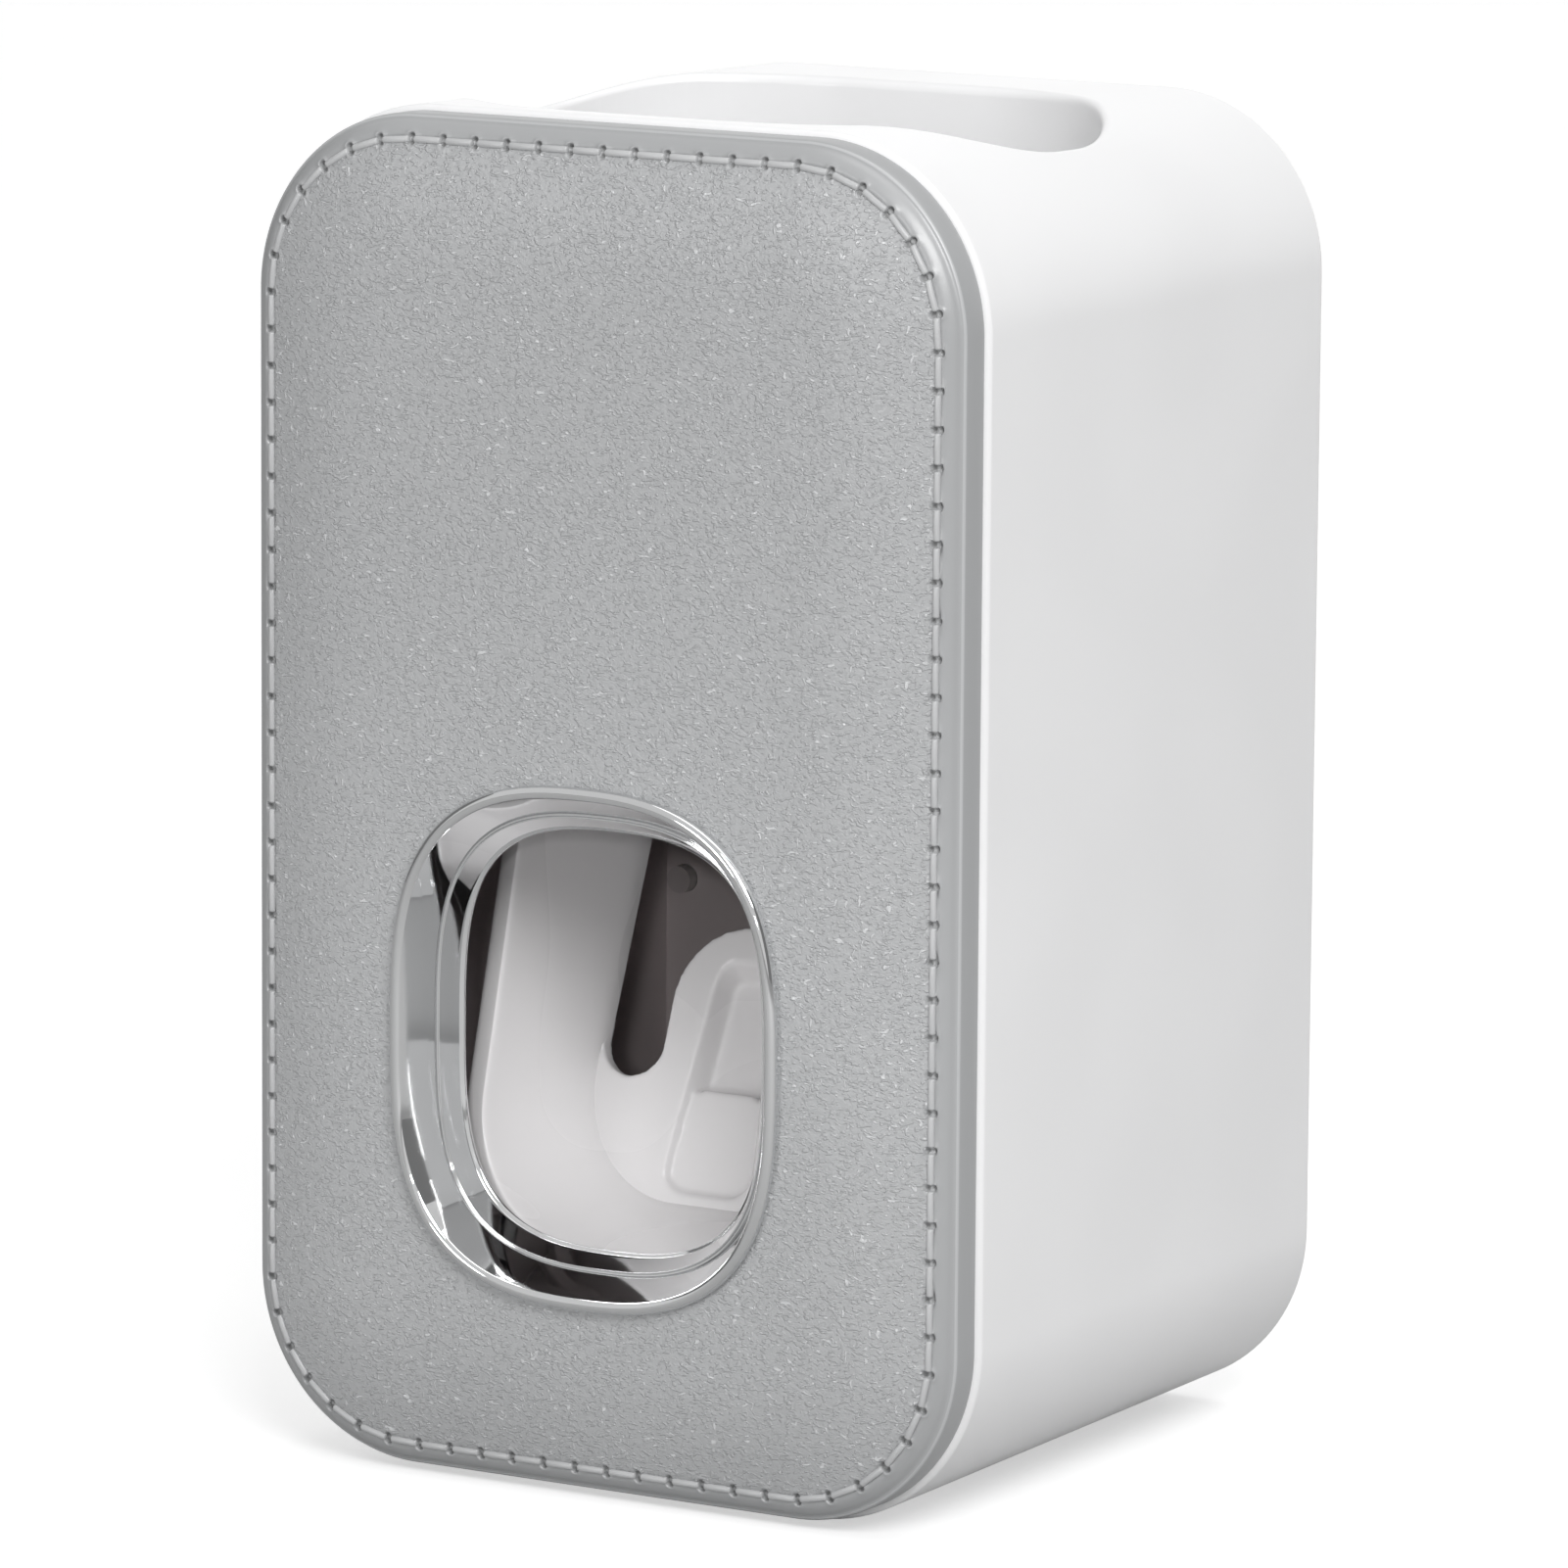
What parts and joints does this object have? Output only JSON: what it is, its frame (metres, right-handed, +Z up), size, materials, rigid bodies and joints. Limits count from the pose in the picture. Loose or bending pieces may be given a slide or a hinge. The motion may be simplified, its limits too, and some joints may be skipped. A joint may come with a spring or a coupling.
{
  "type": "toothpaste dispenser",
  "caption": "Wall-hung toothpaste dispenser: white shell with a tube well, grey leather-look front, bright window bezel and a scoop lever that pumps paste onto a brush.",
  "frame": {"origin": "under the middle of the whole part, in the plane of its lowest edge", "axes": "+Z up, -Y out of the front panel towards the user, +Y into the wall, +X to the user's right"},
  "size_m": [0.0724, 0.069, 0.12],
  "materials": {
    "shell_plastic": "white, softly glossy",
    "panel_grain": "grey, moulded leather grain and stitches",
    "bright_chrome": "mirror plated",
    "lever_plastic": "white, polished",
    "inner_plastic": "dark warm grey, plain",
    "white_fitting": "white, plain",
    "silicone": "translucent grey, soft",
    "steel": "zinc plated",
    "foam_tape": "grey foam with a peeled adhesive face"
  },
  "bodies": {
    "housing": {"outer_shell": "shell_plastic", "tube_well": "shell_plastic", "front_panel": "panel_grain", "window_bezel": "bright_chrome", "bezel_retainer": "inner_plastic", "chassis": "inner_plastic", "well_deck": "inner_plastic", "chassis_screws": "steel", "pivot_pins": "steel", "lever_stops": "silicone", "neck_seat": "silicone", "neck_collar": "white_fitting", "pump_body": "inner_plastic", "pump_screws": "steel", "inlet_valve": "silicone", "gallery_plug": "silicone", "pump_dome": "silicone", "dome_ring": "white_fitting", "dome_ring_screws": "steel", "outlet_nozzle": "silicone", "nozzle_nut": "white_fitting"},
    "lever": {"push_lever": "lever_plastic"},
    "bracket": {"wall_bracket": "white_fitting", "adhesive_pad": "foam_tape"}
  },
  "joints": [
    {"name": "lever_swing", "type": "hinge", "parent": "housing", "child": "lever", "pos_m": [0, -0.0036, 0.073], "axis": [1, 0, 0], "range_deg": [0, 14], "stiffness_Nm_per_rad": 0.25, "springref_deg": -2.86, "deforming": ["pump_dome"]},
    {"name": "bracket_slide", "type": "slide", "parent": "housing", "child": "bracket", "axis": [0, 0, -1], "range_m": [0, 0.012]}
  ]
}
